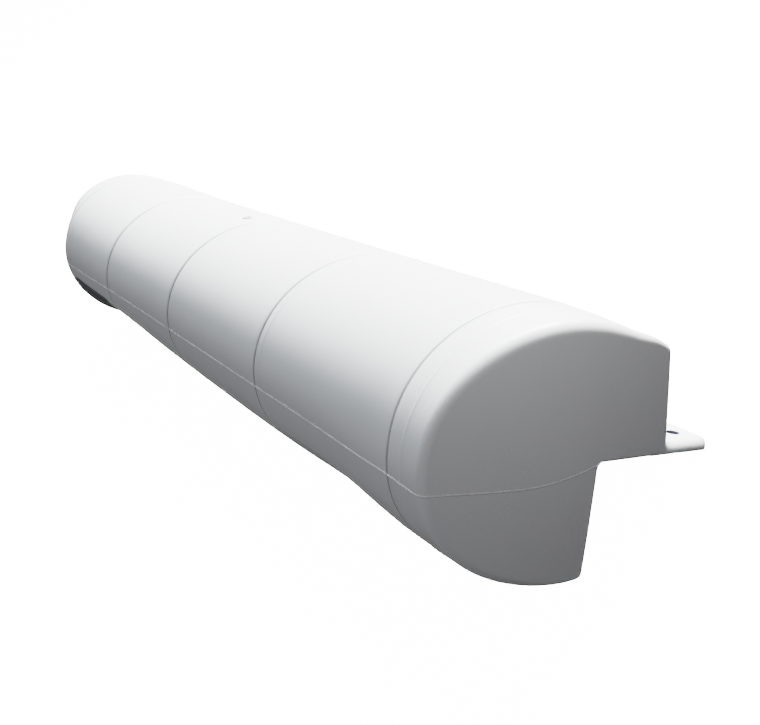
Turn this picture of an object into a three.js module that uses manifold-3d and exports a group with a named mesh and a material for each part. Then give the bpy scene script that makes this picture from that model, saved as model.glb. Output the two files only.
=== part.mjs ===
import * as THREE from 'three';
import { mergeVertices } from 'three/addons/utils/BufferGeometryUtils.js';
import Module from 'manifold-3d';

const wasm = await Module();
wasm.setup();

// A three-quarter round dock fender moulded in soft white vinyl, in millimetres.
// The section is drawn as the fender hangs on a dock: y points to the dock and z points up,
// with the middle of the round as origin. The length runs along x.
const LENGTH = 1000;
const HALF_WIDTH = 114;
const UPPER_DEPTH = 98;
const LOWER_DEPTH = 95;

// The quarter that is left out of the section takes the corner of the dock.
const BACK_FACE = 77;
const LEG_FACE = 24;
const DOCK_SEAT = -6;
const BACK_EDGE_ROUND = 7;
const LEG_EDGE_ROUND = 10;
const DOCK_CORNER_ROUND = 5;

// End faces: a shallow dome, a wide round on the outside and a small one along the dock side.
const END_DOME = 2.5;
const END_ROUND = 17;
const DOCK_SIDE_ROUND = 4;

// Ring grooves around the outside.
const RING_COUNT = 5;
const END_BAND = 58;
const GROOVE_WIDTH = 4;
const GROOVE_DEPTH = 1.8;

// The flange that is bolted down on the deck.
const FLANGE_REACH = 51;
const FLANGE_THICKNESS = 6;
const FLANGE_CORNER = 9;
const FLANGE_EDGE_ROUND = 1.5;
const FLANGE_FILLET = 8;
const FLANGE_END_SETBACK = 1.5;
const BOLT_COUNT = 5;
const BOLT_HOLE = 9;
const BOLT_FROM_END = 22;
const BOLT_FROM_EDGE = 16;

// The side that faces down and out is eased back a little, and the last bay has a deep hollow.
const RELIEF_ANGLE = THREE.MathUtils.degToRad(233);
const RELIEF_AT_SECOND_RING = 8;
const RELIEF_AT_THIRD_RING = 3;
const RELIEF_AT_FOURTH_RING = 2;
const RELIEF_IN_FIRST_BAY = 4;
const HOLLOW_DEPTH = 28;
const HOLLOW_WIDTH = 114;
const HOLLOW_END_ROUND = 22;
const HOLLOW_FROM_FAR_RING = 7;
const HOLLOW_FROM_SECOND_RING = 12;

// Air valve: a plug in a round seat in the top, beside the middle ring.
const VALVE_DIAMETER = 11;
const VALVE_LENGTH = 14;
const VALVE_RIM = 1.2;
const VALVE_FROM_RING = 28;
const VALVE_OUTWARD = 20;
const CLEARANCE = 0.3;

const ROUND_SEGMENTS = 72;
const ARC_STEPS = 5;
const MARGIN = 40;

const RING_SPACING = (LENGTH - 2 * END_BAND) / (RING_COUNT - 1);
const FLANGE_EDGE = BACK_FACE + FLANGE_REACH;
const BOLT_LINE = FLANGE_EDGE - BOLT_FROM_EDGE;
const FLANGE_TOP = DOCK_SEAT + FLANGE_THICKNESS;

// Section coordinates to space: a shape's x becomes y, its y becomes z and its depth runs along x.
const ACROSS = new THREE.Matrix4().makeBasis(
  new THREE.Vector3(0, 1, 0),
  new THREE.Vector3(0, 0, 1),
  new THREE.Vector3(1, 0, 0),
);

function toSolid(geometry) {
  const bare = geometry.index ? geometry.clone() : mergeVertices(geometry);
  bare.deleteAttribute('normal');
  bare.deleteAttribute('uv');
  const merged = mergeVertices(bare, 1e-3);
  const corners = merged.index.array;
  const triangles = [];
  for (let i = 0; i < corners.length; i += 3) {
    const [a, b, c] = [corners[i], corners[i + 1], corners[i + 2]];
    if (a !== b && b !== c && c !== a) triangles.push(a, b, c);
  }
  return new wasm.Manifold(new wasm.Mesh({
    numProp: 3,
    vertProperties: Float32Array.from(merged.attributes.position.array),
    triVerts: Uint32Array.from(triangles),
  }));
}

function toGeometry(solid) {
  const mesh = solid.getMesh();
  const geometry = new THREE.BufferGeometry();
  geometry.setAttribute('position', new THREE.BufferAttribute(mesh.vertProperties, 3));
  geometry.setIndex(new THREE.BufferAttribute(mesh.triVerts, 1));
  geometry.computeVertexNormals();
  return geometry;
}

function ringPosition(ring) {
  return -LENGTH / 2 + END_BAND + ring * RING_SPACING;
}

// One end of the turned outline, from the middle of the end face to the start of the straight side.
// Each point is a radius and how far it lies back from the end.
function endOutline() {
  const flat = HALF_WIDTH - END_ROUND;
  const points = [];
  for (let step = 0; step < ARC_STEPS; step += 1) {
    const radius = flat * step / ARC_STEPS;
    points.push(new THREE.Vector2(radius, END_DOME * (radius / flat) ** 2));
  }
  for (let step = 0; step <= ARC_STEPS; step += 1) {
    const angle = Math.PI / 2 * step / ARC_STEPS;
    const radius = flat + END_ROUND * Math.sin(angle);
    points.push(new THREE.Vector2(radius, END_DOME + END_ROUND * (1 - Math.cos(angle))));
  }
  return points;
}

function grooveOutline(middle) {
  const points = [];
  for (let step = 0; step <= 4; step += 1) {
    const angle = Math.PI * step / 4;
    const radius = HALF_WIDTH - GROOVE_DEPTH * Math.sin(angle);
    points.push(new THREE.Vector2(radius, middle - GROOVE_WIDTH / 2 * Math.cos(angle)));
  }
  return points;
}

// The round body before the quarter is cut away, turned about x and eased to its two depths.
function roundBody() {
  const end = endOutline();
  const outline = end.map((point) => new THREE.Vector2(point.x, -LENGTH / 2 + point.y));
  for (let ring = 0; ring < RING_COUNT; ring += 1) outline.push(...grooveOutline(ringPosition(ring)));
  outline.push(...end.reverse().map((point) => new THREE.Vector2(point.x, LENGTH / 2 - point.y)));
  const geometry = new THREE.LatheGeometry(outline, ROUND_SEGMENTS).rotateZ(-Math.PI / 2);
  const position = geometry.attributes.position;
  for (let i = 0; i < position.count; i += 1) {
    const depth = position.getZ(i) > 0 ? UPPER_DEPTH : LOWER_DEPTH;
    position.setZ(i, position.getZ(i) * depth / HALF_WIDTH);
  }
  return toSolid(geometry);
}

// A point on the round side at distance y from the middle, on the upper or the lower half.
function roundPoint(y, depth) {
  return new THREE.Vector2(y, depth * Math.sqrt(1 - (y / HALF_WIDTH) ** 2));
}

// Everything outside the dock corner and the back face, with the edges along the length rounded.
function dockSideBlock() {
  const backCorner = roundPoint(BACK_FACE, UPPER_DEPTH);
  const backEnd = roundPoint(BACK_FACE - BACK_EDGE_ROUND, UPPER_DEPTH);
  const legCorner = roundPoint(LEG_FACE, -LOWER_DEPTH);
  const legStart = roundPoint(LEG_FACE - LEG_EDGE_ROUND, -LOWER_DEPTH);
  const far = HALF_WIDTH + MARGIN;
  const outline = new THREE.Shape();
  outline.moveTo(LEG_FACE + DOCK_CORNER_ROUND, DOCK_SEAT);
  outline.lineTo(BACK_FACE, DOCK_SEAT);
  outline.lineTo(BACK_FACE, backCorner.y - BACK_EDGE_ROUND);
  outline.quadraticCurveTo(backCorner.x, backCorner.y, backEnd.x, backEnd.y);
  const slope = backEnd.clone().sub(backCorner).setLength(MARGIN);
  outline.lineTo(backEnd.x + slope.x, backEnd.y + slope.y);
  outline.lineTo(BACK_FACE - far, far);
  outline.lineTo(-far, far);
  outline.lineTo(-far, -far);
  outline.lineTo(legStart.x - MARGIN, -far);
  outline.lineTo(legStart.x, legStart.y);
  outline.quadraticCurveTo(legCorner.x, legCorner.y, LEG_FACE, legCorner.y + LEG_EDGE_ROUND);
  outline.lineTo(LEG_FACE, DOCK_SEAT - DOCK_CORNER_ROUND);
  outline.quadraticCurveTo(LEG_FACE, DOCK_SEAT, LEG_FACE + DOCK_CORNER_ROUND, DOCK_SEAT);
  const overhang = END_DOME / 2;
  const bevel = DOCK_SIDE_ROUND + overhang;
  const geometry = new THREE.ExtrudeGeometry(outline, {
    depth: LENGTH + 2 * overhang - 2 * bevel,
    bevelThickness: bevel,
    bevelSize: DOCK_SIDE_ROUND,
    bevelOffset: -DOCK_SIDE_ROUND,
    bevelSegments: 4,
    curveSegments: ARC_STEPS,
  });
  geometry.translate(0, 0, bevel - LENGTH / 2 - overhang).applyMatrix4(ACROSS);
  return toSolid(geometry);
}

// The flange, drawn from above with its bolt holes: shape x runs along the length, shape y to the dock.
function flange() {
  const end = LENGTH / 2 - FLANGE_END_SETBACK;
  const root = BACK_FACE - FLANGE_FILLET;
  const rounded = FLANGE_EDGE - FLANGE_CORNER;
  const outline = new THREE.Shape();
  outline.moveTo(-end, root);
  outline.lineTo(end, root);
  outline.lineTo(end, rounded);
  outline.absarc(end - FLANGE_CORNER, rounded, FLANGE_CORNER, 0, Math.PI / 2);
  outline.lineTo(FLANGE_CORNER - end, FLANGE_EDGE);
  outline.absarc(FLANGE_CORNER - end, rounded, FLANGE_CORNER, Math.PI / 2, Math.PI);
  const firstBolt = BOLT_FROM_END - LENGTH / 2;
  const boltSpacing = (LENGTH - 2 * BOLT_FROM_END) / (BOLT_COUNT - 1);
  for (let bolt = 0; bolt < BOLT_COUNT; bolt += 1) {
    const hole = new THREE.Path();
    hole.absarc(firstBolt + bolt * boltSpacing, BOLT_LINE, BOLT_HOLE / 2, 0, 2 * Math.PI, true);
    outline.holes.push(hole);
  }
  const geometry = new THREE.ExtrudeGeometry(outline, {
    depth: FLANGE_THICKNESS - 2 * FLANGE_EDGE_ROUND,
    bevelThickness: FLANGE_EDGE_ROUND,
    bevelSize: FLANGE_EDGE_ROUND,
    bevelOffset: -FLANGE_EDGE_ROUND,
    bevelSegments: 2,
    curveSegments: 10,
  });
  return toSolid(geometry.translate(0, 0, DOCK_SEAT + FLANGE_EDGE_ROUND));
}

// The hollow fillet between the back face and the flange.
function flangeFillet() {
  const outline = new THREE.Shape();
  outline.moveTo(BACK_FACE - FLANGE_FILLET, FLANGE_TOP - FLANGE_THICKNESS / 2);
  outline.lineTo(BACK_FACE + FLANGE_FILLET, FLANGE_TOP - FLANGE_THICKNESS / 2);
  outline.lineTo(BACK_FACE + FLANGE_FILLET, FLANGE_TOP);
  outline.quadraticCurveTo(BACK_FACE, FLANGE_TOP, BACK_FACE, FLANGE_TOP + FLANGE_FILLET);
  outline.lineTo(BACK_FACE - FLANGE_FILLET, FLANGE_TOP + FLANGE_FILLET);
  const length = LENGTH - 2 * FLANGE_END_SETBACK - 2 * FLANGE_EDGE_ROUND;
  const geometry = new THREE.ExtrudeGeometry(outline, {
    depth: length,
    bevelEnabled: false,
    curveSegments: ARC_STEPS,
  });
  return toSolid(geometry.translate(0, 0, -length / 2).applyMatrix4(ACROSS));
}

// How far the full round reaches in the direction of the relief.
function reliefReach() {
  return Math.hypot(HALF_WIDTH * Math.cos(RELIEF_ANGLE), LOWER_DEPTH * Math.sin(RELIEF_ANGLE));
}

// The easing of the side that faces down and out, as a flat whose depth changes along the length.
function reliefCut() {
  const reach = reliefReach();
  const floor = new THREE.SplineCurve([
    new THREE.Vector2(ringPosition(0) + HOLLOW_FROM_FAR_RING, reach - RELIEF_AT_SECOND_RING),
    new THREE.Vector2(ringPosition(1), reach - RELIEF_AT_SECOND_RING),
    new THREE.Vector2(ringPosition(2), reach - RELIEF_AT_THIRD_RING),
    new THREE.Vector2(ringPosition(3), reach - RELIEF_AT_FOURTH_RING),
    new THREE.Vector2(ringPosition(3) + RING_SPACING * 0.4, reach - RELIEF_IN_FIRST_BAY),
    new THREE.Vector2(ringPosition(4) - END_BAND / 2, reach),
  ]);
  const outline = new THREE.Shape(floor.getPoints(24));
  outline.lineTo(ringPosition(4), reach + MARGIN);
  outline.lineTo(ringPosition(0) + HOLLOW_FROM_FAR_RING, reach + MARGIN);
  const geometry = new THREE.ExtrudeGeometry(outline, { depth: 2 * HALF_WIDTH, bevelEnabled: false });
  const outward = new THREE.Vector3(0, Math.cos(RELIEF_ANGLE), Math.sin(RELIEF_ANGLE));
  const along = new THREE.Vector3(1, 0, 0);
  const basis = new THREE.Matrix4().makeBasis(along, outward, along.clone().cross(outward));
  return toSolid(geometry.translate(0, 0, -HALF_WIDTH).applyMatrix4(basis));
}

// The hollow in the last bay: a trough along the length with rounded ends.
function hollowCut() {
  const sag = HOLLOW_DEPTH / 2;
  const radius = (HOLLOW_WIDTH ** 2 / 4 + sag ** 2) / (2 * sag);
  const middle = reliefReach() - HOLLOW_DEPTH + radius;
  const start = ringPosition(0) + HOLLOW_FROM_FAR_RING;
  const end = ringPosition(1) - HOLLOW_FROM_SECOND_RING;
  const outline = new THREE.Shape();
  outline.absarc(middle * Math.cos(RELIEF_ANGLE), middle * Math.sin(RELIEF_ANGLE), radius, 0, 2 * Math.PI);
  const geometry = new THREE.ExtrudeGeometry(outline, {
    depth: end - start - 2 * HOLLOW_END_ROUND,
    bevelThickness: HOLLOW_END_ROUND,
    bevelSize: HOLLOW_END_ROUND,
    bevelOffset: -HOLLOW_END_ROUND,
    bevelSegments: 5,
    curveSegments: 60,
  });
  return toSolid(geometry.translate(0, 0, start + HOLLOW_END_ROUND).applyMatrix4(ACROSS));
}

// Where the valve sits: its axis stands square to the top of the round.
function valvePlace() {
  const seat = roundPoint(-VALVE_OUTWARD, UPPER_DEPTH);
  const lean = Math.atan2(VALVE_OUTWARD / HALF_WIDTH ** 2, seat.y / UPPER_DEPTH ** 2);
  const place = new THREE.Matrix4().makeRotationX(lean);
  return place.setPosition(ringPosition(2) - VALVE_FROM_RING, seat.x, seat.y);
}

function valveSeat() {
  const radius = VALVE_DIAMETER / 2 + CLEARANCE;
  const depth = VALVE_LENGTH + CLEARANCE;
  const geometry = new THREE.CylinderGeometry(radius, radius, depth + MARGIN, 24);
  geometry.rotateX(Math.PI / 2).translate(0, 0, MARGIN / 2 - depth / 2);
  return toSolid(geometry.applyMatrix4(valvePlace()));
}

function valvePlug() {
  const radius = VALVE_DIAMETER / 2;
  const outline = [
    new THREE.Vector2(0, -VALVE_LENGTH),
    new THREE.Vector2(radius, -VALVE_LENGTH),
    new THREE.Vector2(radius, VALVE_RIM / 2),
    new THREE.Vector2(radius - VALVE_RIM / 2, VALVE_RIM),
    new THREE.Vector2(radius / 2, VALVE_RIM),
    new THREE.Vector2(radius / 2 - VALVE_RIM / 2, 0),
    new THREE.Vector2(0, 0),
  ];
  const geometry = new THREE.LatheGeometry(outline, 24).rotateX(Math.PI / 2);
  return toSolid(geometry.applyMatrix4(valvePlace()));
}

function fenderBody() {
  return roundBody()
    .intersect(dockSideBlock())
    .add(flange())
    .add(flangeFillet())
    .subtract(reliefCut())
    .subtract(hollowCut())
    .subtract(valveSeat());
}

// The lean at which the foot of the leg and the edge of the flange both touch a level floor.
function restingLean(geometry) {
  const { array, count } = geometry.attributes.position;
  const divide = (LEG_FACE + FLANGE_EDGE) / 2;
  let lean = Math.atan2(LOWER_DEPTH + DOCK_SEAT, FLANGE_EDGE - LEG_FACE);
  for (let round = 0; round < 12; round += 1) {
    const lowest = [null, null];
    for (let i = 0; i < count; i += 1) {
      const [y, z] = [array[3 * i + 1], array[3 * i + 2]];
      const side = y > divide ? 1 : 0;
      const height = z * Math.cos(lean) - y * Math.sin(lean);
      if (!lowest[side] || height < lowest[side].height) lowest[side] = { y, z, height };
    }
    lean = Math.atan2(lowest[1].z - lowest[0].z, lowest[1].y - lowest[0].y);
  }
  return lean;
}

function vinyl(color, roughness) {
  return new THREE.MeshStandardMaterial({ color, roughness, metalness: 0 });
}

function namedMesh(name, geometry, material) {
  const mesh = new THREE.Mesh(geometry, material);
  mesh.name = name;
  return mesh;
}

const bodyGeometry = toGeometry(fenderBody());
const section = new THREE.Group();
section.add(namedMesh('fender_body', bodyGeometry, vinyl(0xe9ebec, 0.42)));
section.add(namedMesh('air_valve', toGeometry(valvePlug()), vinyl(0xdfe1e3, 0.5)));
section.rotation.x = -restingLean(bodyGeometry);

// The finished part lies on the foot of its leg and the edge of its flange, round side up.
// Its origin is the middle of its box, on the floor.
const fender = new THREE.Group();
fender.name = 'dock_fender';
fender.add(section);
fender.updateMatrixWorld(true);
const box = new THREE.Box3().setFromObject(section, true);
section.position.set(-(box.min.x + box.max.x) / 2, -(box.min.y + box.max.y) / 2, -box.min.z);

export default fender;
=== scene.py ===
import math

import bmesh
import bpy
import numpy as np
from mathutils import Matrix, Vector


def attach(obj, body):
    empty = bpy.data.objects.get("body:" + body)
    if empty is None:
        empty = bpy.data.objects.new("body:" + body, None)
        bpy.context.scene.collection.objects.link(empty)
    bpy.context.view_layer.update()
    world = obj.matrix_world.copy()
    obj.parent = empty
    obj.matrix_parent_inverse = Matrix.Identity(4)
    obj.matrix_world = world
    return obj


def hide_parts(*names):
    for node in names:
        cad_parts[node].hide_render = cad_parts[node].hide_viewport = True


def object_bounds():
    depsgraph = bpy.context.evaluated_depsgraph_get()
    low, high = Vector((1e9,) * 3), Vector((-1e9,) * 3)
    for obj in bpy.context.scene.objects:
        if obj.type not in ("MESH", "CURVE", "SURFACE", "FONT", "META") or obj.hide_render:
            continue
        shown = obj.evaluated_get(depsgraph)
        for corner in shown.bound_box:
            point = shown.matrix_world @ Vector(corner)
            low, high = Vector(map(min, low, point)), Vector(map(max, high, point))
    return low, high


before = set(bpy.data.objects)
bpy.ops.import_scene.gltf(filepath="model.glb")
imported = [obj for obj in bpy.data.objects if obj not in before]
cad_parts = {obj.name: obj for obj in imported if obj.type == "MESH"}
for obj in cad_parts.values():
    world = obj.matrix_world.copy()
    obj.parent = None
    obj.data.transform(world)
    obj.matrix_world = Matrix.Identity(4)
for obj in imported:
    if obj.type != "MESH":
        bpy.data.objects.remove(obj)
cad_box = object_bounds()

MM = 0.001

# The fender's own sizes in millimetres. The section is drawn as it hangs on a dock:
# y points to the dock, z points up, and x runs along the length.
LENGTH = 1000.0
HALF_WIDTH = 114.0
UPPER_DEPTH = 96.0
LOWER_DEPTH = 94.0
BACK_FACE = 79.0
BACK_FACE_LEAN = 8.5
LEG_FACE = 24.0
DOCK_SEAT = -6.0
BACK_EDGE_ROUND = 1.8
LEG_EDGE_ROUND = 5.0
DOCK_CORNER_ROUND = 5.0

# The end faces: rounded edges, and a face that eases back towards the round side
END_ROUND = 7.0
END_ROUND_TOP = 9.5
END_ROUND_CHANGE = (math.radians(125), math.radians(165))
DOCK_SIDE_ROUND = 3.0
BACK_CORNER_ROUND = 4.6
BACK_CORNER_RUN = math.radians(30)
LEG_CORNER_RUN = math.radians(34)
FACE_CREST = 20.0
FACE_EASE_SIDE = 13.0
FACE_EASE_DOCK_SIDE = 1.2
FACE_EASE_UP = 2.5
FACE_MIDDLE = (0.0, 12.0)

# The ring grooves, each with its own reach and depth from the far end to the near one, and
# the fine raised lines that the mould's joints left beside them
RING_COUNT = 5
END_BAND = 58.0
RING_SPACING = (LENGTH - 2 * END_BAND) / (RING_COUNT - 1)
GROOVE_REACH = (5.6, 4.8, 3.4, 2.4, 2.0)
GROOVE_DEPTH = (3.6, 3.0, 2.2, 1.3, 0.8)
GROOVE_RUN_OUT = (0.2, 0.5, 0.8)
# The share of a groove's reach whose faces take a darker material: painted shade
GROOVE_SHADE_SHARE = 0.72
WITNESS_RISE = 0.28
WITNESS_REACH = 1.2
WITNESS_BY_RING = ((4, 20.0), (3, 9.0), (0, -20.0))

# The bolt-down flange. Its top edge is a wide, soft round and its foot is nearly sharp.
FLANGE_EDGE = 131.0
FLANGE_THICKNESS = 8.4
FLANGE_CORNER = 9.0
FLANGE_FILLET = 8.0
FLANGE_END_SETBACK = 1.5
FLANGE_TOP_ROUND = 7.6
FLANGE_TOP_RUN = 8.5
FLANGE_FOOT_ROUND = 1.0
FLANGE_TIP_TOP_ROUND = 4.8
FLANGE_TIP_FOOT_ROUND = 1.4
FLANGE_INSIDE_BODY = 6.0
FILLET_SUNK = 1.4
FILLET_CORNER_SUNK = 0.4
FILLET_TOP_OVER = 0.6
FILLET_DRAW_BACK = 0.7
FILLET_FOOT_DRAW_BACK = 0.4
BOLT_COUNT = 5
BOLT_HOLE = 9.0
BOLT_HOLE_FLARE = 0.7
BOLT_FROM_END = 22.0
BOLT_FROM_EDGE = 19.0

# What is uneven in the soft moulding
FAR_END_DRAW_IN = 0.13
FAR_END_TOP_SPARED = 0.65
SPARED_FROM = 0.2 * UPPER_DEPTH
SPARED_FULLY_FROM = 0.8 * UPPER_DEPTH
DRAW_IN_BEFORE_RING = 8.0
CORNER_LIFT = 0.095
CORNER_LIFT_FROM = 45.0
CORNER_LIFT_TO = BACK_FACE + 9.0
BULGE_ANGLE = math.radians(226)
BULGE_RISE = 2.4
BULGE_MIDDLE = 425.0
BULGE_LENGTH = 60.0
BULGE_FROM_SHARE = 0.72

# The side that faces down and out, and the hollow in its far bay. The values for no relief and
# no hollow lie outside the round, so they take nothing away.
RELIEF_ANGLE = math.radians(233)
RELIEF_BLEND = 1.5
NO_RELIEF = -3.0
NO_HOLLOW = 1000.0
HOLLOW_DEPTH = 32.0
HOLLOW_WIDTH = 118.0
HOLLOW_LOWERED = 6.0
HOLLOW_END_ROUND = 22.0
HOLLOW_RIM_BLEND = 1.6
# Points sunk deeper than this into the hollow take a darker material: painted shade
HOLLOW_SHADE_FROM = 1.5
HOLLOW_FROM_FAR_RING = 7.0
HOLLOW_FROM_SECOND_RING = 12.0

# The air valve beside the middle ring
VALVE_DIAMETER = 11.0
VALVE_LENGTH = 14.0
VALVE_CLEARANCE = 0.3
VALVE_FROM_RING = 28.0
VALVE_OUTWARD = 20.0

# The fine raised line where the mould's halves met
PARTING_HEIGHT = -18.0
PARTING_RISE_FROM = -45.0
BEAD_RADIUS = 0.9
BEAD_SUNK = 0.35
BEAD_SUNK_ON_FACE = 0.62
BEAD_JOIN_GAP = 1.5
BEAD_POINT = 0.2
BEAD_PAST_LEG_FACE = 1.5
BEAD_TURN_SHARE = 0.92
BEAD_FACE_POINTS = 24
BEAD_TURN_POINTS = 9

# How finely the shapes are drawn: points of the section, places along it, rows and sides
ROUND_POINTS = 196
LEG_EDGE_POINTS = 8
LEG_POINTS = 18
DOCK_CORNER_POINTS = 6
SEAT_POINTS = 18
BACK_POINTS = 22
BACK_EDGE_POINTS = 8
SECTION_POINTS = sum((
    ROUND_POINTS, LEG_EDGE_POINTS, LEG_POINTS, DOCK_CORNER_POINTS, SEAT_POINTS, BACK_POINTS, BACK_EDGE_POINTS,
))
PLAIN_STEP = 8.0
HOLLOW_STEP = 2.6
HOLLOW_STEPS_BEFORE = 4.0
HOLLOW_STEPS_BEYOND = 6.0
HOLLOW_EDGE_STEP = 0.75
HOLLOW_EDGE_REACH = 3.0
SMALLEST_STEP = 0.3
GROOVE_PLACES = 13
WITNESS_PLACES = 7
STRAIGHT_MARGIN = 1.0
END_EDGE_ROWS = 13
END_FACE_STEPS = 25
END_FACE_SPREAD = 1.3
BEAD_SIDES = 12
PIN_SIDES = 40
VALVE_SIDES = 48

# The search for the lean at rest: where it starts, and how often it is improved
FIRST_LEAN = math.radians(38)
LEAN_ROUNDS = 14

# Faces that meet at more than this angle, in degrees, have a sharp edge between them
SKIN_SHARP_ANGLE = 34
VALVE_SHARP_ANGLE = 40

# The skin's material slots, in the order in which it is given its materials. The grooves, the bolt holes and
# the hollow take painted shade, and the parting line's bead a painted highlight.
GROOVE_PAINTED_SHADE_SLOT = 1
BEAD_PAINTED_HIGHLIGHT_SLOT = 2
HOLE_PAINTED_SHADE_SLOT = 3
HOLLOW_PAINTED_SHADE_SLOT = 4


def ring_x(ring):
    return -LENGTH / 2 + END_BAND + ring * RING_SPACING


def hollow_ends():
    """Where the hollow in the far bay starts and ends."""
    return ring_x(0) + HOLLOW_FROM_FAR_RING, ring_x(1) - HOLLOW_FROM_SECOND_RING


def witness_lines():
    """Where the mould's joints left fine raised lines around the round."""
    return [ring_x(ring) + distance for ring, distance in WITNESS_BY_RING]


def section_way(angle):
    """The direction at an angle in the section, from y towards z."""
    return np.array([math.cos(angle), math.sin(angle)])


def lower_reach(way):
    """How far the lower round reaches in a direction of the section."""
    return math.hypot(HALF_WIDTH * way[0], LOWER_DEPTH * way[1])


def round_z(y, upper):
    """Height of the round side at distance y from the middle."""
    depth = UPPER_DEPTH if upper else -LOWER_DEPTH
    return depth * math.sqrt(HALF_WIDTH ** 2 - y ** 2) / HALF_WIDTH


def side_y(z):
    """The round side's y at a height below the middle."""
    return -HALF_WIDTH * np.sqrt(1 - (z / LOWER_DEPTH) ** 2)


def bezier(a, b, c, count):
    """Points of a quadratic curve, without its two ends."""
    t = np.arange(1, count + 1)[:, None] / (count + 1)
    return (1 - t) ** 2 * np.array(a) + 2 * t * (1 - t) * np.array(b) + t ** 2 * np.array(c)


def line(a, b, count):
    """Points along a line, with its first end and without its last."""
    t = np.arange(count)[:, None] / count
    return np.array(a) * (1 - t) + np.array(b) * t


def smooth_min(a, b, reach):
    """The smaller of the two, with a soft change where they cross."""
    blend = np.maximum(reach - np.abs(a - b), 0) / reach
    return np.minimum(a, b) - blend ** 2 * reach / 4


def smooth_step(x, start, end):
    """Rises softly from 0 at the start to 1 at the end."""
    share = np.clip((x - start) / (end - start), 0, 1)
    return share ** 2 * (3 - 2 * share)


def smooth_path(x, knots):
    """A smooth line through the knots."""
    places = np.array([k[0] for k in knots])
    values = np.array([k[1] for k in knots])
    slopes = np.gradient(values, places)
    i = np.clip(np.searchsorted(places, x) - 1, 0, len(knots) - 2)
    step = places[i + 1] - places[i]
    t = np.clip((x - places[i]) / step, 0, 1)
    return (
        (2 * t ** 3 - 3 * t ** 2 + 1) * values[i]
        + (t ** 3 - 2 * t ** 2 + t) * step * slopes[i]
        + (3 * t ** 2 - 2 * t ** 3) * values[i + 1]
        + (t ** 3 - t ** 2) * step * slopes[i + 1]
    )


def ridge(x, middle, reach):
    """Rises softly from 0 to 1 at the middle and falls back to 0 at its reach."""
    t = np.clip(np.abs(x - middle) / reach, 0, 1)
    return (1 - t ** 2) ** 2


def section_angles():
    """Angles of the points on the round, from the back corner to the leg."""
    first = math.acos((BACK_FACE - BACK_EDGE_ROUND) / HALF_WIDTH)
    last = 2 * math.pi - math.acos((LEG_FACE - LEG_EDGE_ROUND) / HALF_WIDTH)
    return np.linspace(first, last, ROUND_POINTS)


def section_loop():
    """The section as a closed loop, from the back corner over the top and down to the leg."""
    top = round_z(BACK_FACE, True)
    foot = round_z(LEG_FACE, False)
    t = section_angles()
    depth = np.where(np.sin(t) > 0, UPPER_DEPTH, LOWER_DEPTH)
    arc = np.stack([HALF_WIDTH * np.cos(t), depth * np.sin(t)], axis=1)
    leg_side = (LEG_FACE, foot + LEG_EDGE_ROUND)
    under_corner = (LEG_FACE, DOCK_SEAT - DOCK_CORNER_ROUND)
    beside_corner = (LEG_FACE + DOCK_CORNER_ROUND, DOCK_SEAT)
    back_foot = (BACK_FACE + BACK_FACE_LEAN, DOCK_SEAT)
    lean_left = BACK_FACE_LEAN * BACK_EDGE_ROUND / (top - DOCK_SEAT)
    back_side = (BACK_FACE + lean_left, top - BACK_EDGE_ROUND)
    return np.concatenate([
        arc,
        bezier(arc[-1], (LEG_FACE, foot), leg_side, LEG_EDGE_POINTS),
        line(leg_side, under_corner, LEG_POINTS),
        bezier(under_corner, (LEG_FACE, DOCK_SEAT), beside_corner, DOCK_CORNER_POINTS),
        line(beside_corner, back_foot, SEAT_POINTS),
        line(back_foot, back_side, BACK_POINTS),
        bezier(back_side, (BACK_FACE, top), arc[0], BACK_EDGE_POINTS),
    ])


def inward(section):
    """Unit vectors into the material at each point of the section."""
    along = np.roll(section, -1, axis=0) - np.roll(section, 1, axis=0)
    into = np.column_stack([-along[:, 1], along[:, 0]])
    return into / np.linalg.norm(into, axis=1)[:, None]


def straight_half():
    """How far the plain section reaches from the middle before an end edge starts to turn."""
    return LENGTH / 2 - FACE_EASE_SIDE - FACE_EASE_UP - END_ROUND - STRAIGHT_MARGIN


def stations():
    """Places along the straight part, closer together at the rings, the fine lines and the hollow."""
    straight = straight_half()
    hollow_start, hollow_end = hollow_ends()
    found = [
        np.arange(-straight, straight + 0.01, PLAIN_STEP),
        np.arange(hollow_start - HOLLOW_STEPS_BEFORE, hollow_end + HOLLOW_STEPS_BEYOND, HOLLOW_STEP),
    ]
    for edge in (hollow_start, hollow_end):
        found.append(edge + np.arange(-HOLLOW_EDGE_REACH, HOLLOW_EDGE_REACH + 0.1, HOLLOW_EDGE_STEP))
    for ring in range(RING_COUNT):
        reach = GROOVE_REACH[ring]
        found.append(ring_x(ring) + np.linspace(-reach, reach, GROOVE_PLACES))
    for seam in witness_lines():
        found.append(seam + np.linspace(-WITNESS_REACH, WITNESS_REACH, WITNESS_PLACES))
    ordered = sorted({*np.round(np.concatenate(found), 2), straight})
    kept = [ordered[0]]
    for place in ordered[1:]:
        if place - kept[-1] > SMALLEST_STEP:
            kept.append(place)
    kept[-1] = straight
    return np.array(kept)


def groove(x):
    """How deep the ring grooves are at x. The witness lines stand proud instead."""
    depth = np.zeros_like(x)
    for ring in range(RING_COUNT):
        depth += GROOVE_DEPTH[ring] * ridge(x, ring_x(ring), GROOVE_REACH[ring])
    for seam in witness_lines():
        depth -= WITNESS_RISE * ridge(x, seam, WITNESS_REACH)
    return depth


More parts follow.
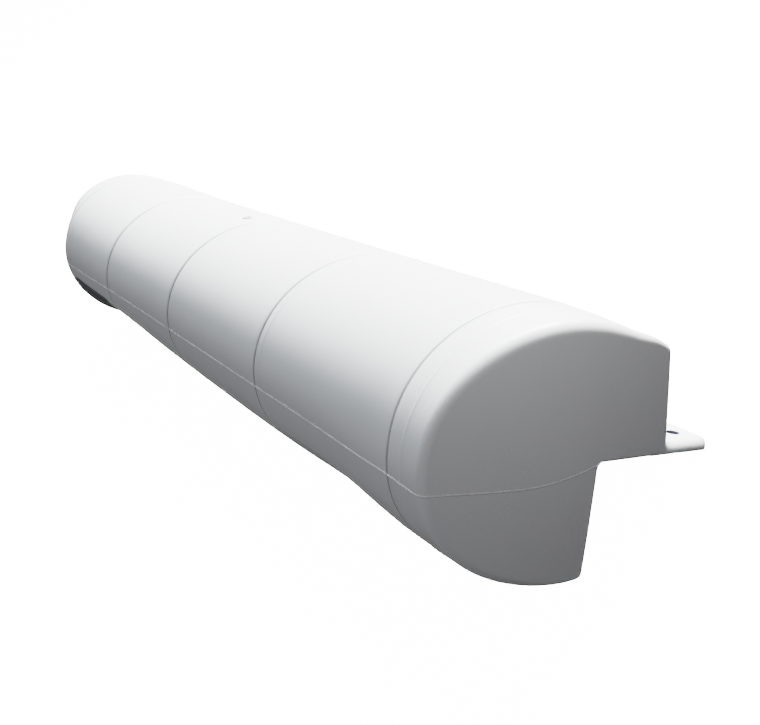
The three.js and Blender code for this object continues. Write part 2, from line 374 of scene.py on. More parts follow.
def relief_depth(x):
    """How far the side that faces down and out lies inside the round."""
    hollow_start, _ = hollow_ends()
    relief = smooth_path(x, [
        (ring_x(0), -2.0),
        (hollow_start + 8, 3.0),
        (hollow_start + 26, 5.0),
        (hollow_start + 70, 7.0),
        (ring_x(1), 8.0),
        (ring_x(2), 3.0),
        (ring_x(3), 2.0),
        (ring_x(3) + RING_SPACING * 0.4, 4.0),
        (ring_x(4) - END_BAND / 2, 0.0),
        (ring_x(4), -3.0),
    ])
    return np.where((x < ring_x(0)) | (x > ring_x(4)), NO_RELIEF, relief)


def hollow_floor(x, side, full):
    """How far out the hollow's floor lies: a trough with rounded ends, sunk from the full round."""
    hollow_start, hollow_end = hollow_ends()
    sag = HOLLOW_DEPTH / 2
    radius = (HOLLOW_WIDTH ** 2 / 4 + sag ** 2) / (2 * sag)
    inside = np.minimum(x - hollow_start, hollow_end - x)
    t = np.clip(inside / HOLLOW_END_ROUND, 0, 1)
    trough = radius - HOLLOW_END_ROUND * (1 - np.sqrt(1 - (1 - t) ** 2))
    middle = full - HOLLOW_DEPTH + radius
    across = side - HOLLOW_LOWERED
    floor = middle - np.sqrt(np.maximum(trough ** 2 - across ** 2, 0))
    return np.where((np.abs(across) < trough) & (inside > -0.01), floor, NO_HOLLOW)


def ease_lower_side(points):
    """Eases back the side that faces down and out, and sinks the hollow into it.

    Gives the moved points, and for each whether it lies deep enough in the hollow to take painted shade.
    """
    out = section_way(RELIEF_ANGLE)
    across = np.array([-out[1], out[0]])
    height = points[:, 1:] @ out
    side = points[:, 1:] @ across
    full = lower_reach(out)
    x = points[:, 0]
    eased = smooth_min(height, full - relief_depth(x), RELIEF_BLEND)
    floor = hollow_floor(x, side, full)
    painted_hollow_shade = floor < eased - HOLLOW_SHADE_FROM
    eased = smooth_min(eased, floor, HOLLOW_RIM_BLEND)
    moved = points.copy()
    moved[:, 1:] += (eased - height)[:, None] * out
    return moved, painted_hollow_shade


def face_height(flat):
    """Where the end face lies for points of the section."""
    y = flat[:, 0]
    side = (FACE_CREST - y) / (FACE_CREST + HALF_WIDTH)
    dock_side = (y - FACE_CREST) / (BACK_FACE - FACE_CREST)
    ease = np.where(y < FACE_CREST, FACE_EASE_SIDE * side ** 2, FACE_EASE_DOCK_SIDE * dock_side ** 2)
    return LENGTH / 2 - ease - FACE_EASE_UP * (flat[:, 1] / UPPER_DEPTH) ** 2


def end_rounds():
    """Radius of the end edge at each point of the section: large over the top, small on the dock side."""
    t = section_angles()
    on_round = END_ROUND_TOP + (END_ROUND - END_ROUND_TOP) * smooth_step(t, *END_ROUND_CHANGE)
    from_back = smooth_step(t, t[0], t[0] + BACK_CORNER_RUN)
    from_leg = smooth_step(-t, -t[-1], -t[-1] + LEG_CORNER_RUN)
    on_round = BACK_CORNER_ROUND + (on_round - BACK_CORNER_ROUND) * from_back
    radius = np.full(SECTION_POINTS, DOCK_SIDE_ROUND)
    radius[:ROUND_POINTS] += (on_round - DOCK_SIDE_ROUND) * from_leg
    back_edge = np.linspace(DOCK_SIDE_ROUND, BACK_CORNER_ROUND, BACK_EDGE_POINTS + 2)
    radius[-BACK_EDGE_POINTS:] = back_edge[1:-1]
    return radius


def end_edge(section):
    """Rows of points that turn from the section's side onto the end face."""
    into = inward(section)
    radius = end_rounds()
    inside = section + into * radius[:, None]
    rise = face_height(inside + into) - face_height(inside)
    last = math.pi / 2 - np.arctan(rise)
    edge = face_height(section + into * (radius * (1 - np.cos(last)))[:, None])
    rows = []
    for share in np.linspace(0, 1, END_EDGE_ROWS):
        angle = last * share
        x = edge - radius * (np.sin(last) - np.sin(angle))
        flat = section + into * (radius * (1 - np.cos(angle)))[:, None]
        rows.append(np.column_stack([x, flat]))
    return rows


def end_face(boundary):
    """Rows of points over an end face, from its edge to a middle point."""
    middle = np.array(FACE_MIDDLE)
    rows = []
    for share in np.linspace(0, 1, END_FACE_STEPS + 1)[1:-1] ** END_FACE_SPREAD:
        flat = middle + (boundary - middle) * (1 - share)
        rows.append(np.column_stack([face_height(flat), flat]))
    tip = np.array([[face_height(middle[None])[0], *middle]])
    return rows, tip


def body_rows():
    """All rows of points along the moulding, from the far end to the near one."""
    places = stations()
    section = section_loop()
    into = inward(section)
    run_out = len(GROOVE_RUN_OUT)
    on_round = np.zeros(SECTION_POINTS)
    on_round[:ROUND_POINTS] = 1
    on_round[:run_out] = GROOVE_RUN_OUT
    on_round[ROUND_POINTS - run_out:ROUND_POINTS] = GROOVE_RUN_OUT[::-1]
    rows = []
    for x, depth in zip(places, groove(places)):
        flat = section + into * (on_round * depth)[:, None]
        rows.append(np.column_stack([np.full(SECTION_POINTS, x), flat]))
    edge = end_edge(section)
    face, tip = end_face(edge[-1][:, 1:])
    near = [*edge, *face]
    mirror = np.array([-1, 1, 1])
    far = [row * mirror for row in near[::-1]]
    return tip * mirror, [*far, *rows, *near], tip


def width_share(x):
    """The round side's width, which is least at the far end and around the near ring."""
    return smooth_path(x, [
        (-LENGTH / 2, 0.955),
        (ring_x(0), 0.965),
        (ring_x(0) + RING_SPACING / 2, 0.996),
        (ring_x(1), 1.004),
        (ring_x(2), 1.001),
        (ring_x(3), 0.995),
        (ring_x(4) - RING_SPACING / 4, 0.982),
        (ring_x(4), 0.974),
        (ring_x(4) + END_BAND / 2, 0.992),
        (LENGTH / 2, 1.0),
    ])


def height_share(x):
    """The top's height, which is greatest at the far ring and least at the near end."""
    return smooth_path(x, [
        (-LENGTH / 2, 1.02),
        (ring_x(0), 1.025),
        (ring_x(1), 0.994),
        (ring_x(2), 0.989),
        (ring_x(3), 0.992),
        (ring_x(4) - RING_SPACING / 4, 1.0),
        (ring_x(4), 1.0),
        (ring_x(4) + END_BAND / 2, 0.985),
        (LENGTH / 2, 0.966),
    ])


def soften(points):
    """Gives the plain section the slight changes of width and height of a soft moulding."""
    moved = points.copy()
    x, y, z = points.T
    draw_in = FAR_END_DRAW_IN * smooth_step(-x, -ring_x(0) - DRAW_IN_BEFORE_RING, LENGTH / 2)
    draw_in *= 1 - FAR_END_TOP_SPARED * smooth_step(z, SPARED_FROM, SPARED_FULLY_FROM)
    moved[:, 1] = np.where(y < 0, y * width_share(x) * (1 - draw_in), y)
    near_end = smooth_step(x, ring_x(4), LENGTH / 2)
    corner = CORNER_LIFT * near_end * smooth_step(y, CORNER_LIFT_FROM, CORNER_LIFT_TO)
    moved[:, 2] = np.where(z > 0, z * (height_share(x) + corner), z)
    out = section_way(BULGE_ANGLE)
    full = lower_reach(out)
    outermost = smooth_step(points[:, 1:] @ out, BULGE_FROM_SHARE * full, full)
    bulge = BULGE_RISE * np.exp(-((x - BULGE_MIDDLE) / BULGE_LENGTH) ** 2) * outermost
    moved[:, 1:] += bulge[:, None] * out
    return moved


def new_object(name, points, faces):
    mesh = bpy.data.meshes.new(name)
    mesh.from_pydata([tuple(p) for p in points], [], faces)
    mesh.validate()
    obj = bpy.data.objects.new(name, mesh)
    bpy.context.scene.collection.objects.link(obj)
    return obj


def side_faces(count, steps):
    """The faces between rows of points, row by row."""
    faces = []
    for row in range(steps):
        first = row * count
        for i in range(count):
            j = (i + 1) % count
            faces.append((first + i, first + j, first + count + j, first + count + i))
    return faces


def loft(name, start, rows, end):
    """A closed skin over rows of points, closed at each end by a point."""
    count = len(rows[0])
    points = np.concatenate([*rows, start, end])
    faces = side_faces(count, len(rows) - 1)
    first = len(points) - 2
    last = first - count
    for i in range(count):
        j = (i + 1) % count
        faces.append((first, j, i))
        faces.append((first + 1, last + i, last + j))
    return new_object(name, points, faces)


def flat_ended(name, rows):
    """A closed skin over rows of points, with one flat face at each end."""
    count = len(rows[0])
    faces = side_faces(count, len(rows) - 1)
    faces.append(tuple(range(count))[::-1])
    faces.append(tuple(range((len(rows) - 1) * count, len(rows) * count)))
    return new_object(name, np.concatenate(rows), faces)


def turned(name, profile, sides, place):
    """A closed turned solid about z. The profile is (radius, z) pairs whose two ends lie on the axis."""
    angles = np.linspace(0, 2 * math.pi, sides, endpoint=False)
    rows = [
        np.column_stack([r * np.cos(angles), r * np.sin(angles), np.full(sides, z)])
        for r, z in profile[1:-1]
    ]
    start = np.array([[0, 0, profile[0][1]]], float)
    end = np.array([[0, 0, profile[-1][1]]], float)
    obj = loft(name, start, rows, end)
    obj.data.transform(place)
    return obj


def swept(name, centre, radius):
    """A round bead along a path, with closed ends."""
    tangent = np.gradient(centre, axis=0)
    tangent /= np.linalg.norm(tangent, axis=1)[:, None]
    side = np.cross(tangent, np.array([0, 0, 1.0]))
    side /= np.linalg.norm(side, axis=1)[:, None]
    over = np.cross(side, tangent)
    angles = np.linspace(0, 2 * math.pi, BEAD_SIDES, endpoint=False)
    rows = [
        c + radius * (np.cos(angles)[:, None] * s + np.sin(angles)[:, None] * o)
        for c, s, o in zip(centre, side, over)
    ]
    start = centre[:1] - tangent[:1] * BEAD_POINT
    end = centre[-1:] + tangent[-1:] * BEAD_POINT
    return loft(name, start, rows, end)


def round_loss(distance, radius):
    """How much a rounded edge takes away at this distance from the end."""
    d = max(0.0, radius - distance)
    return radius - math.sqrt(max(0.0, radius ** 2 - d ** 2))


def flange_rows():
    """The bolt-down flange and its fillet, as rows of sections along the length."""
    end = LENGTH / 2 - FLANGE_END_SETBACK
    corner = end - FLANGE_CORNER
    corner_turn = np.radians((12, 24, 35, 45, 54, 62, 69, 75, 80, 84, 87))
    half = [
        *np.linspace(0, corner - 10, 40),
        corner - 6,
        corner - 3,
        corner,
        *(corner + FLANGE_CORNER * np.sin(corner_turn)),
        end - 0.1,
        end,
    ]
    rows = []
    for x in sorted(set([-x for x in half] + half)):
        beyond = max(0.0, abs(x) - corner)
        tip = FLANGE_EDGE - FLANGE_CORNER + math.sqrt(max(0.0, FLANGE_CORNER ** 2 - beyond ** 2))
        left = end - abs(x)
        top_loss = round_loss(left * FLANGE_TOP_ROUND / FLANGE_TOP_RUN, FLANGE_TOP_ROUND)
        section = flange_section(tip, top_loss, round_loss(left, FLANGE_FOOT_ROUND))
        rows.append(np.column_stack([np.full(len(section), x), section]))
    return rows


def flange_section(tip, top_loss, foot_loss):
    """The flange from inside the body out to its tip and back over the top and up the fillet."""
    top = DOCK_SEAT + FLANGE_THICKNESS - top_loss
    foot = DOCK_SEAT + 0.01 + foot_loss
    inside = BACK_FACE - FLANGE_INSIDE_BODY
    edge_top = min(FLANGE_TIP_TOP_ROUND, top - foot - 0.4)
    edge_foot = min(FLANGE_TIP_FOOT_ROUND, max(0.2, top - foot - edge_top - 0.1))
    # The fillet's upper end is sunk in the leaning face, and draws back where the ends round off
    back = BACK_FACE + BACK_FACE_LEAN
    draw_back = top_loss * FILLET_DRAW_BACK
    fillet_start = (back - FILLET_SUNK - draw_back, top + FLANGE_FILLET + FILLET_TOP_OVER)
    fillet_corner = (back - FILLET_CORNER_SUNK - draw_back, top)
    fillet_end = (back + FLANGE_FILLET - top_loss * FILLET_FOOT_DRAW_BACK, top)
    return np.concatenate([
        line((inside, foot), (tip - edge_foot, foot), 12),
        [(tip - edge_foot, foot)],
        bezier((tip - edge_foot, foot), (tip, foot), (tip, foot + edge_foot), 4),
        [(tip, foot + edge_foot), (tip, top - edge_top)],
        bezier((tip, top - edge_top), (tip, top), (tip - edge_top, top), 6),
        line((tip - edge_top, top), fillet_end, 12),
        [fillet_end],
        bezier(fillet_end, fillet_corner, fillet_start, 12),
        [fillet_start],
        line((inside, fillet_start[1]), (inside, foot), 13),
    ])


def bolt_pin(x):
    """A pin that cuts a bolt hole whose two rims are rounded."""
    radius = BOLT_HOLE / 2
    flare = BOLT_HOLE_FLARE
    low = DOCK_SEAT
    high = DOCK_SEAT + FLANGE_THICKNESS
    beyond = 8.0
    turn = [(1 - math.sin(a), 1 - math.cos(a)) for a in np.radians([30, 60, 90])]
    profile = [
        (0, low - beyond),
        (radius + flare + beyond, low - beyond),
        (radius + flare, low),
        *[(radius + flare * out, low + flare * up) for out, up in turn],
        *[(radius + flare * out, high - flare * down) for out, down in turn[::-1]],
        (radius + flare, high),
        (radius + flare + beyond, high + beyond),
        (0, high + beyond),
    ]
    place = Matrix.Translation((x, FLANGE_EDGE - BOLT_FROM_EDGE, 0))
    return turned("bolt_hole", profile, PIN_SIDES, place)


def parting_z(x):
    """Height of the parting line along the side."""
    return smooth_path(x, [
        (-LENGTH / 2, PARTING_HEIGHT - 6),
        (ring_x(0), PARTING_HEIGHT - 4.5),
        (ring_x(1), PARTING_HEIGHT + 0.5),
        (ring_x(2), PARTING_HEIGHT + 0.5),
        (ring_x(3), PARTING_HEIGHT),
        (ring_x(4), PARTING_HEIGHT - 1.0),
        (LENGTH / 2, PARTING_HEIGHT - 1.0),
    ])


def parting_bead():
    """The middle of the parting line's bead: along the side and across both end faces."""
    near = end_bead(1.0)
    far = end_bead(-1.0)[::-1]
    first = near[-1, 0] - BEAD_JOIN_GAP
    last = far[0, 0] + BEAD_JOIN_GAP
    x = np.array([place for place in stations() if last < place < first][::-1])
    z = parting_z(x)
    side = np.column_stack([x, side_y(z) + BEAD_SUNK + groove(x), z])
    return soften(np.concatenate([near, side, far]))


def end_bead(sign):
    """The bead over one end face, from the dock corner to the side, and round the end's edge."""
    low = parting_z(np.array([sign * LENGTH / 2]))[0]
    edge_y = side_y(low)
    slope = 2 * FACE_EASE_SIDE * (FACE_CREST - edge_y) / (FACE_CREST + HALF_WIDTH) ** 2
    last = math.pi / 2 - math.atan(slope)
    face_end = edge_y + END_ROUND * (1 - math.cos(last))
    y = np.linspace(LEG_FACE - BEAD_PAST_LEG_FACE, face_end, BEAD_FACE_POINTS)
    lift = np.clip((y - PARTING_RISE_FROM) / (LEG_FACE - PARTING_RISE_FROM), 0, 1)
    z = low + (DOCK_SEAT - low) * lift ** 2
    face = np.column_stack([face_height(np.column_stack([y, z])) - BEAD_SUNK_ON_FACE, y, z])
    turn_y = edge_y + END_ROUND
    turn_x = face[-1, 0] + BEAD_SUNK_ON_FACE - END_ROUND * math.sin(last)
    turned_edge = []
    for share in np.linspace(BEAD_TURN_SHARE, 0, BEAD_TURN_POINTS):
        radius = END_ROUND - BEAD_SUNK_ON_FACE + (BEAD_SUNK_ON_FACE - BEAD_SUNK) * (1 - share)
        angle = last * share
        turned_edge.append((turn_x + radius * math.sin(angle), turn_y - radius * math.cos(angle), low))
    path = np.concatenate([face, turned_edge])
    return path * np.array([sign, 1, 1])


def outward_faces(obj):
    """Turns all faces of a closed skin outwards."""
    work = bmesh.new()
    work.from_mesh(obj.data)
    bmesh.ops.recalc_face_normals(work, faces=work.faces)
    if work.calc_volume(signed=True) < 0:
        bmesh.ops.reverse_faces(work, faces=work.faces)
    work.to_mesh(obj.data)
    work.free()


def combine(target, tool, operation):
    """Joins the tool to the target or cuts it away, and removes the tool."""
    outward_faces(tool)
    change = target.modifiers.new("combine", "BOOLEAN")
    change.operation = operation
    change.solver = "MANIFOLD"
    change.object = tool
    bpy.context.view_layer.update()
    graph = bpy.context.evaluated_depsgraph_get()
    mesh = bpy.data.meshes.new_from_object(target.evaluated_get(graph))
    target.modifiers.clear()
    old = target.data
    target.data = mesh
    bpy.data.meshes.remove(old)
    used = tool.data
    bpy.data.objects.remove(tool)
    bpy.data.meshes.remove(used)


def points_of(obj):
    found = np.zeros(len(obj.data.vertices) * 3)
    obj.data.vertices.foreach_get("co", found)
    return found.reshape(-1, 3)


def resting_lean(points):
    """The lean at which the foot of the leg and the edge of the flange both touch the floor."""
    divide = (LEG_FACE + FLANGE_EDGE) / 2
    lean = FIRST_LEAN
    for _ in range(LEAN_ROUNDS):
        height = points[:, 2] * math.cos(lean) - points[:, 1] * math.sin(lean)
        right = points[:, 1] > divide
        a = points[~right][np.argmin(height[~right])]
        b = points[right][np.argmin(height[right])]
        lean = math.atan2(b[2] - a[2], b[1] - a[1])
    return lean


def mark_shades(body, rows, painted_hollow_shade):
    """The faces in the hollow and at the bottom of the ring grooves take darker materials: painted shade."""
    index = np.zeros(len(body.data.polygons), np.int32)
    deep = painted_hollow_shade[:len(rows) * SECTION_POINTS].reshape(len(rows), SECTION_POINTS)
    run_out = len(GROOVE_RUN_OUT)
    for row in range(len(rows) - 1):
        start = row * SECTION_POINTS
        band = index[start:start + SECTION_POINTS]
        band[deep[row] | deep[row + 1]] = HOLLOW_PAINTED_SHADE_SLOT
        middle = (rows[row][0, 0] + rows[row + 1][0, 0]) / 2
        for ring in range(RING_COUNT):
            if abs(middle - ring_x(ring)) < GROOVE_SHADE_SHARE * GROOVE_REACH[ring]:
                band[run_out - 1:ROUND_POINTS - run_out] = GROOVE_PAINTED_SHADE_SLOT
    body.data.polygons.foreach_set("material_index", index)


def give_materials(obj, materials, slot):
    """Gives an object all the materials, and its faces the one in this slot."""
    for material in materials:
        obj.data.materials.append(material)
    obj.data.polygons.foreach_set("material_index", [slot] * len(obj.data.polygons))


def build_body(materials):
    """The moulding: its round, flange, bolt holes, parting line and the seat of the valve."""
    start, rows, end = body_rows()
    body = loft("fender_skin", start, rows, end)
    give_materials(body, materials, 0)
    points, painted_hollow_shade = ease_lower_side(points_of(body))
    mark_shades(body, rows, painted_hollow_shade)
    body.data.vertices.foreach_set("co", soften(points).ravel())
    outward_faces(body)
    combine(body, flat_ended("flange", flange_rows()), "UNION")
    spacing = (LENGTH - 2 * BOLT_FROM_END) / (BOLT_COUNT - 1)
    for bolt in range(BOLT_COUNT):
        pin = bolt_pin(-LENGTH / 2 + BOLT_FROM_END + bolt * spacing)
        # The walls of the bolt holes take a near-black material: painted shade
        give_materials(pin, materials, HOLE_PAINTED_SHADE_SLOT)
        combine(body, pin, "DIFFERENCE")
    bead = swept("bead", parting_bead(), BEAD_RADIUS)
    # The raised bead is real, and its lighter material is a painted highlight
    give_materials(bead, materials, BEAD_PAINTED_HIGHLIGHT_SLOT)
    combine(body, bead, "UNION")
    combine(body, valve_seat(), "DIFFERENCE")
    return body


def valve_place():
    """The valve's place on the softened round, with its axis square to the surface."""
    x = ring_x(2) - VALVE_FROM_RING
    z = round_z(-VALVE_OUTWARD, True)
    tilt = math.atan2(VALVE_OUTWARD / HALF_WIDTH ** 2, z / UPPER_DEPTH ** 2)
    place = Matrix.Rotation(tilt, 4, "X")
    place.translation = Vector(soften(np.array([[x, -VALVE_OUTWARD, z]]))[0])
    return place


def valve_seat():
    """The cut for the valve: a blind hole with a soft dished rim."""
    radius = VALVE_DIAMETER / 2 + VALVE_CLEARANCE
    depth = VALVE_LENGTH + VALVE_CLEARANCE
    profile = [
        (0, -depth),
        (radius, -depth),
        (radius, -0.9),
        (radius + 0.3, -0.35),
        (radius + 1.0, 0.0),
        (radius + 4.0, 1.4),
        (radius + 4.0, 9),
        (0, 9),
    ]
    return turned("valve_seat", profile, VALVE_SIDES, valve_place())


def build_valve():
    """A push-in plug: a rolled rim, a dished middle and a small centre hole."""
    radius = VALVE_DIAMETER / 2
    rim_round = 0.75
    rim_foot = 0.35
    rim_top = rim_foot + rim_round
    roll_round = 0.6
    roll_start = radius - 1.35
    rim = [
        (radius - rim_round + rim_round * math.cos(a), rim_foot + rim_round * math.sin(a))
        for a in np.radians([0, 22, 45, 67, 90])
    ]
    roll = [
        (roll_start - roll_round * math.sin(a), rim_top - roll_round * (1 - math.cos(a)))
        for a in np.radians([0, 30, 60, 90])
    ]
    profile = [
        (0, -VALVE_LENGTH),
        (radius - 1, -VALVE_LENGTH),
        (radius, 1 - VALVE_LENGTH),
        *rim,
        *roll,
        (radius - 2.1, 0.0),
        (radius - 2.3, -0.35),
        (1.5, -0.5),
        (1.25, -0.65),
        (1.15, -1.1),
        (1.1, -4.0),
        (0, -4.2),
    ]
    valve = turned("valve_plug", profile, VALVE_SIDES, valve_place())
    outward_faces(valve)
    return valve


def mark_smooth(obj, angle):
    """Shades an object smoothly, but for edges sharper than the angle in degrees."""
    mesh = obj.data
    mesh.polygons.foreach_set("use_smooth", [True] * len(mesh.polygons))
    mesh.set_sharp_from_angle(angle=math.radians(angle))


def set_inputs(shader, **inputs):
    """Sets a node's inputs. An underscore stands for the space in an input's name."""
    for key, value in inputs.items():
        shader.inputs[key.replace("_", " ")].default_value = value


def node(tree, kind, **inputs):
    made = tree.nodes.new(kind)
    set_inputs(made, **inputs)
    return made


def noise(tree, place, scale, detail, roughness):
    """A cloudy pattern that is fixed to the object."""
    made = node(tree, "ShaderNodeTexNoise", Scale=scale, Detail=detail, Roughness=roughness)
    tree.links.new(place.outputs["Object"], made.inputs["Vector"])
    return made.outputs["Fac"]


def vinyl(name, base, shade, roughness):
    """Moulded vinyl: an even colour with faint clouding, a satin face, fine grain and slow waves."""
    material = bpy.data.materials.new(name)
    material.use_nodes = True
    tree = material.node_tree
    link = tree.links.new
    shader = tree.nodes["Principled BSDF"]
    set_inputs(shader, IOR=1.45)
    place = node(tree, "ShaderNodeTexCoord")

    clouds = noise(tree, place, scale=7.0, detail=4.0, roughness=0.55)
    colour = node(tree, "ShaderNodeValToRGB")
    dark, light = colour.color_ramp.elements
    dark.position = 0.3
    dark.color = (*shade, 1)
    light.position = 0.62
    light.color = (*base, 1)
    link(clouds, colour.inputs["Fac"])
    link(colour.outputs["Color"], shader.inputs["Base Color"])

    smears = noise(tree, place, scale=38.0, detail=3.0, roughness=0.6)
    gloss = node(tree, "ShaderNodeMapRange", From_Min=0.3, From_Max=0.7)
    set_inputs(gloss, To_Min=roughness - 0.05, To_Max=roughness + 0.06)
    link(smears, gloss.inputs["Value"])
    link(gloss.outputs["Result"], shader.inputs["Roughness"])

    waves = noise(tree, place, scale=11.0, detail=1.0, roughness=0.4)
    grain = noise(tree, place, scale=900.0, detail=2.0, roughness=0.6)
    slow = node(tree, "ShaderNodeBump", Strength=0.6, Distance=0.0006)
    fine = node(tree, "ShaderNodeBump", Strength=0.35, Distance=0.00004)
    link(waves, slow.inputs["Height"])
    link(grain, fine.inputs["Height"])
    link(slow.outputs["Normal"], fine.inputs["Normal"])
    link(fine.outputs["Normal"], shader.inputs["Normal"])
    return material


def pale_surface(name, points, faces, **looks):
    """A pale surface around the fender. No light bounces from it, and nothing mirrors it."""
    surface = new_object(name, points, faces)
    paint = bpy.data.materials.new(name + " paint")
    paint.use_nodes = True
    set_inputs(paint.node_tree.nodes["Principled BSDF"], Base_Color=(0.86, 0.86, 0.86, 1), **looks)
    surface.data.materials.append(paint)
    surface.visible_diffuse = False
    surface.visible_glossy = False
    return surface


def area_light(name, place, aim, size, power, colour=(1, 1, 1)):
    """A square lamp at a place, turned to what it lights."""
    data = bpy.data.lights.new(name, "AREA")
    data.shape = "SQUARE"
    data.size = size
    data.energy = power
    data.color = colour
    obj = bpy.data.objects.new(name, data)
    obj.location = place
    obj.rotation_mode = "QUATERNION"
    obj.rotation_quaternion = (Vector(aim) - Vector(place)).to_track_quat("-Z", "Y")
    bpy.context.scene.collection.objects.link(obj)


def light_sky(even, bright, bright_way):
    """An even sky, with more light from the half around one direction."""
    world = bpy.data.worlds.new("studio")
    bpy.context.scene.world = world
    world.use_nodes = True
    tree = world.node_tree
    link = tree.links.new
    direction = node(tree, "ShaderNodeTexCoord")
    share = tree.nodes.new("ShaderNodeVectorMath")
    share.operation = "DOT_PRODUCT"
    share.inputs[1].default_value = bright_way
    positive = tree.nodes.new("ShaderNodeMath")
    positive.operation = "MAXIMUM"
    positive.inputs[1].default_value = 0.0
    tint = tree.nodes.new("ShaderNodeVectorMath")
    tint.operation = "SCALE"
    tint.inputs[0].default_value = bright
    total = tree.nodes.new("ShaderNodeVectorMath")
    total.operation = "ADD"
    total.inputs[1].default_value = even
    link(direction.outputs["Generated"], share.inputs[0])
    link(share.outputs["Value"], positive.inputs[0])
    link(positive.outputs["Value"], tint.inputs["Scale"])
    link(tint.outputs["Vector"], total.inputs[0])
    link(total.outputs["Vector"], tree.nodes["Background"].inputs["Color"])


# The object
skin = build_body([
    vinyl("white vinyl", (0.83, 0.84, 0.85), (0.80, 0.812, 0.825), 0.42),
    # Painted shade in the grooves
    vinyl("vinyl with painted groove shade", (0.46, 0.475, 0.49), (0.41, 0.425, 0.44), 0.55),
    # A painted highlight on the parting line's raised bead
    vinyl("parting line", (0.88, 0.885, 0.89), (0.84, 0.845, 0.85), 0.42),
    # Painted shade in the bolt holes
    vinyl("vinyl with painted bolt hole shade", (0.05, 0.052, 0.09), (0.03, 0.032, 0.06), 0.6),
    # Painted shade in the hollow
    vinyl("vinyl with painted hollow shade", (0.34, 0.35, 0.365), (0.28, 0.29, 0.30), 0.5),
])
valve = build_valve()
valve.data.materials.append(vinyl("valve plastic", (0.70, 0.71, 0.73), (0.66, 0.67, 0.69), 0.45))

# It rests on the floor, with the edge of its flange where the frame has it
spots = points_of(skin)
turn = Matrix.Rotation(-resting_lean(spots), 4, "X")
section_turn = turn.to_3x3()
leaning = spots @ np.array(section_turn).T
flange_reach = cad_box[1][1] / MM
to_floor = Matrix.Translation((0, flange_reach - leaning[:, 1].max(), -leaning[:, 2].min())) @ turn
to_row = Matrix.Scale(MM, 4) @ to_floor
for part in (skin, valve):
    part.data.transform(to_row)
    part.data.update()
mark_smooth(skin, SKIN_SHARP_ANGLE)
mark_smooth(valve, VALVE_SHARP_ANGLE)

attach(skin, "root")
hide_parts("fender_body")
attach(valve, "root")
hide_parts("air_valve")

# The floor, and walls and a roof far behind everything, which show only in low views
ROOM_REACH = 40.0
BACKDROP_GLOW = 14.0
corners = ((-1, -1), (1, -1), (1, 1), (-1, 1))
low_corners = [(ROOM_REACH * x, ROOM_REACH * y, 0) for x, y in corners]
high_corners = [(ROOM_REACH * x, ROOM_REACH * y, ROOM_REACH) for x, y in corners]
walls = [(i, (i + 1) % 4, 4 + (i + 1) % 4, 4 + i) for i in range(4)]
floor = pale_surface("floor", low_corners, [(0, 1, 2, 3)], Roughness=0.9, Specular_IOR_Level=0.1)
backdrop = pale_surface(
    "backdrop",
    low_corners + high_corners,
    [*walls, (4, 5, 6, 7)],
    Emission_Color=(1, 1, 1, 1),
    Emission_Strength=BACKDROP_GLOW,
)
backdrop.visible_shadow = False

# Light, in directions of the section's own frame: a weak sky that is brighter on the round
# side, two keys above the body, and two small fills for the near end face
SKY_EVEN = (0.012, 0.012, 0.013)
SKY_OUTSIDE = (0.345, 0.35, 0.364)
KEY_ALONG = -0.2
KEY_DISTANCE = 2.9
KEY_SIZE = 1.0
KEY_AIM_HEIGHT = 0.1
KEYS = [
    ("key", 73.0, 590.0, (1.0, 0.985, 0.97)),
    ("second key", 98.0, 90.0, (0.90, 1.0, 1.04)),
]
FILL_SIZE = 0.25
FILLS = [
    ("end fill", (685.0, -70.0, 290.0), 0.17),
    ("side fill", (620.0, -85.0, 190.0), 0.085),
]
WASH_STRENGTH = 50.0

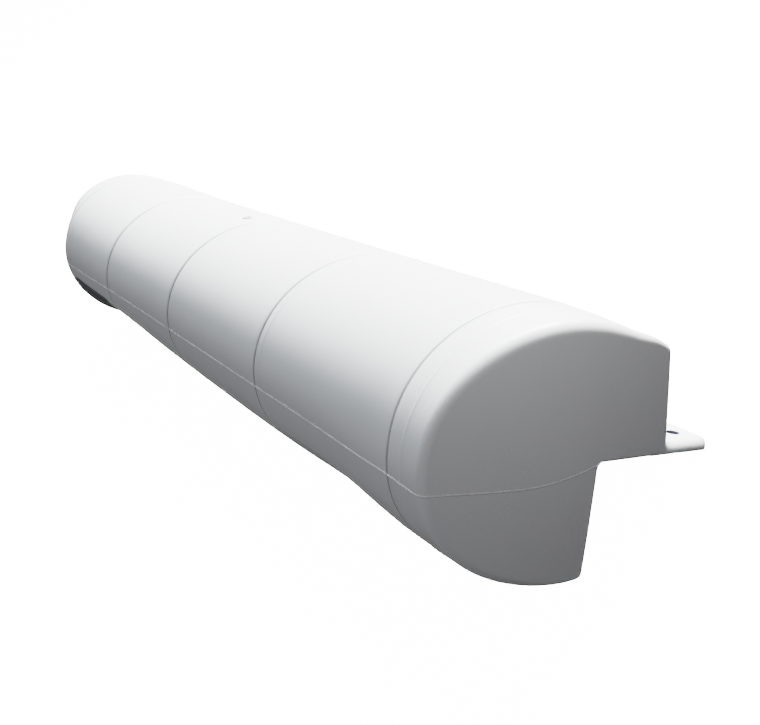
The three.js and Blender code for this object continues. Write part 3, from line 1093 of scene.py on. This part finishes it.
light_sky(SKY_EVEN, SKY_OUTSIDE, section_turn @ Vector((0, -1, 0)))
key_aim = Vector((0, 0, KEY_AIM_HEIGHT))
level = math.sqrt(1 - KEY_ALONG ** 2)
for name, angle, power, colour in KEYS:
    way = section_turn @ Vector((KEY_ALONG, *(level * section_way(math.radians(angle)))))
    area_light(name, key_aim + way * KEY_DISTANCE, key_aim, KEY_SIZE, power, colour)
face_middle = to_row @ Vector((LENGTH / 2, 0, 0))
for name, place, power in FILLS:
    area_light(name, to_row @ Vector(place), face_middle, FILL_SIZE, power)

# A strong light on the floor alone, in which nothing casts a shadow
wash_data = bpy.data.lights.new("floor wash", "SUN")
wash_data.energy = WASH_STRENGTH
wash = bpy.data.objects.new("floor wash", wash_data)
bpy.context.scene.collection.objects.link(wash)
only_floor = bpy.data.collections.new("floor only")
only_floor.objects.link(floor)
wash.light_linking.receiver_collection = only_floor
wash.light_linking.blocker_collection = only_floor

bpy.context.scene.view_settings.view_transform = "Filmic"

# The camera, placed in the section's own frame and turned with it. The focal length and the
# middle of the view are in pixels of the photo.
FOCAL = 1059.5
CENTRE = (378.0, 356.4)
VIEW_SIZE = (760.0, 725.0)
EYE = (1014.1, -462.3, 217.1)
AHEAD = (-0.838326, 0.495611, -0.22711)
DOWN = (0.236899, -0.044026, -0.970536)
SENSOR_WIDTH = 36.0
camera_data = bpy.data.cameras.new("camera")
camera = bpy.data.objects.new("camera", camera_data)
bpy.context.scene.collection.objects.link(camera)
bpy.context.scene.camera = camera
camera_data.sensor_width = SENSOR_WIDTH
camera_data.lens = FOCAL * SENSOR_WIDTH / VIEW_SIZE[0]
camera_data.shift_x = (VIEW_SIZE[0] / 2 - CENTRE[0]) / VIEW_SIZE[0]
camera_data.shift_y = (CENTRE[1] - VIEW_SIZE[1] / 2) / VIEW_SIZE[0]
camera_data.clip_start = 0.05
camera_data.clip_end = 60.0
ahead = section_turn @ Vector(AHEAD)
down = section_turn @ Vector(DOWN)
pose = Matrix((down.cross(ahead), -down, -ahead)).transposed().to_4x4()
pose.translation = to_row @ Vector(EYE)
camera.matrix_world = pose
